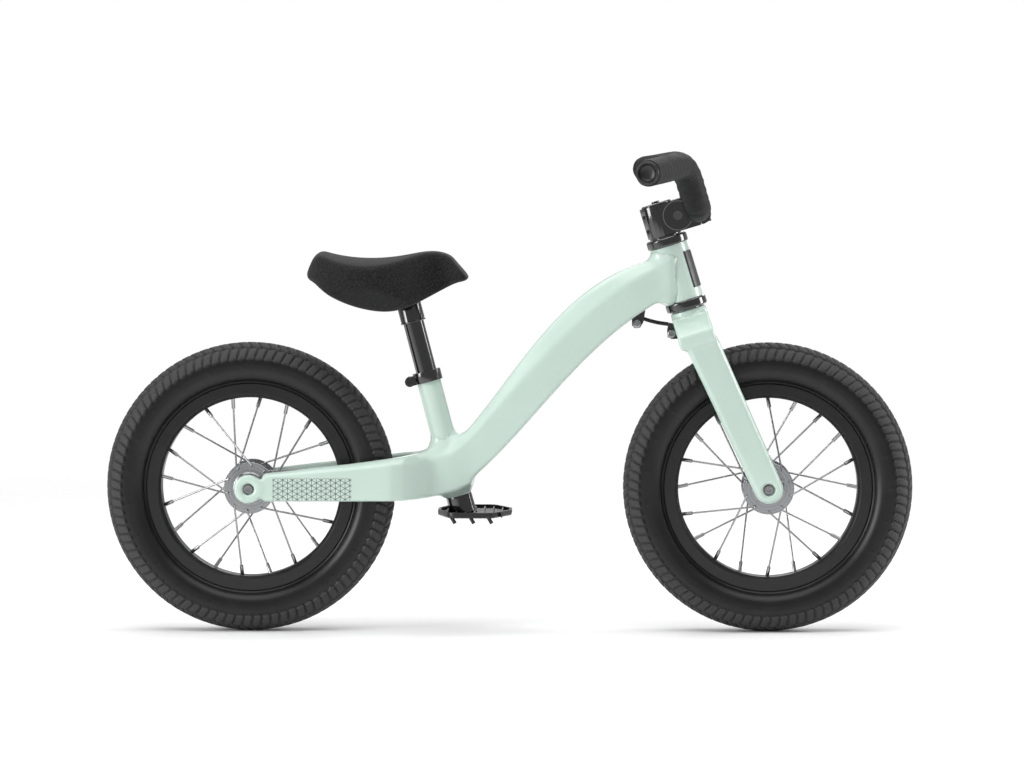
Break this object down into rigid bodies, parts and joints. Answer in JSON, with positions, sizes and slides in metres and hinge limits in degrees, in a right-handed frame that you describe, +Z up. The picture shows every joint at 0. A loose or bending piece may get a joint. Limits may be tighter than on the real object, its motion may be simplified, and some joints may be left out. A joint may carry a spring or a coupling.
{
  "type": "balance bike",
  "caption": "Child's pedal-free balance bike with a sloping beam frame, spoked wheels, adjustable saddle and handlebar, and a footrest under the seat tube.",
  "frame": {"origin": "on the ground, midway between the two axles, on the centre plane", "axes": "+X forward, +Y to the rider's left, +Z up"},
  "size_m": [0.864, 0.4144, 0.5138],
  "materials": {
    "frame_paint": "satin gloss",
    "black_alloy": "gloss black anodised",
    "silver_alloy": "satin",
    "bright_steel": "satin",
    "tyre_rubber": "matte",
    "tube_rubber": "matte",
    "bar_tape": "matte, wound",
    "saddle_cover": "fine charcoal speckle",
    "black_plastic": "fine grain"
  },
  "bodies": {
    "frame": {"head_tube": "frame_paint", "head_badge": "black_plastic", "main_beam": "frame_paint", "right_chainstay": "frame_paint", "left_chainstay": "frame_paint", "seat_tube": "frame_paint", "seat_clamp_collar": "black_alloy", "seat_clamp_bolt": "bright_steel", "footrest_post": "black_alloy", "footrest_plate": "black_plastic", "footrest_bolt": "bright_steel", "upper_headset_cup": "black_alloy", "lower_headset_cup": "black_alloy", "upper_headset_bearing": "bright_steel", "lower_headset_bearing": "bright_steel", "rear_axle": "bright_steel", "rear_lock_nuts": "silver_alloy", "rear_axle_bolts": "bright_steel", "limiter_frame_bracket": "black_alloy", "limiter_frame_screw": "bright_steel", "limiter_link": "tube_rubber"},
    "fork": {"steerer": "bright_steel", "fork_crown": "frame_paint", "right_fork_leg": "frame_paint", "left_fork_leg": "frame_paint", "headset_spacer": "black_alloy", "stem": "black_alloy", "stem_faceplate": "black_alloy", "stem_bolts": "bright_steel", "stem_side_caps": "black_plastic", "stem_top_cap": "black_alloy", "stem_top_bolt": "bright_steel", "front_axle": "bright_steel", "front_lock_nuts": "silver_alloy", "front_axle_bolts": "bright_steel", "limiter_fork_bracket": "black_alloy", "limiter_fork_screw": "bright_steel"},
    "handlebar": {"handlebar": "black_alloy", "right_bar_tape": "bar_tape", "left_bar_tape": "bar_tape", "bar_end_plugs": "black_plastic"},
    "seat": {"seatpost": "black_alloy", "saddle_collar": "black_alloy", "saddle_base": "black_plastic", "saddle_cushion": "saddle_cover", "saddle_bolt": "bright_steel"},
    "rear_wheel": {"rear_tyre": "tyre_rubber", "rear_inner_tube": "tube_rubber", "rear_rim": "black_alloy", "rear_spokes": "bright_steel", "rear_spoke_nipples": "bright_steel", "rear_hub_shell": "silver_alloy", "rear_hub_bearings": "bright_steel"},
    "front_wheel": {"front_tyre": "tyre_rubber", "front_inner_tube": "tube_rubber", "front_rim": "black_alloy", "front_spokes": "bright_steel", "front_spoke_nipples": "bright_steel", "front_hub_shell": "silver_alloy", "front_hub_bearings": "bright_steel"}
  },
  "joints": [
    {"name": "steering", "type": "hinge", "parent": "frame", "child": "fork", "pos_m": [0.1792, 0, 0.38445], "axis": [-0.2924, 0, 0.9563], "range_deg": [-35, 35], "deforming": ["limiter_link"]},
    {"name": "front_wheel_spin", "type": "hinge", "parent": "fork", "child": "front_wheel", "pos_m": [0.277, 0, 0.155], "axis": [0, 1, 0], "continuous": true},
    {"name": "rear_wheel_spin", "type": "hinge", "parent": "frame", "child": "rear_wheel", "pos_m": [-0.277, 0, 0.155], "axis": [0, 1, 0], "continuous": true},
    {"name": "seat_height", "type": "slide", "parent": "frame", "child": "seat", "axis": [-0.2521, 0, 0.9677], "range_m": [-0.045, 0.035]},
    {"name": "handlebar_tilt", "type": "hinge", "parent": "fork", "child": "handlebar", "pos_m": [0.20123, 0, 0.45262], "axis": [0, 1, 0], "range_deg": [-15, 15]}
  ]
}
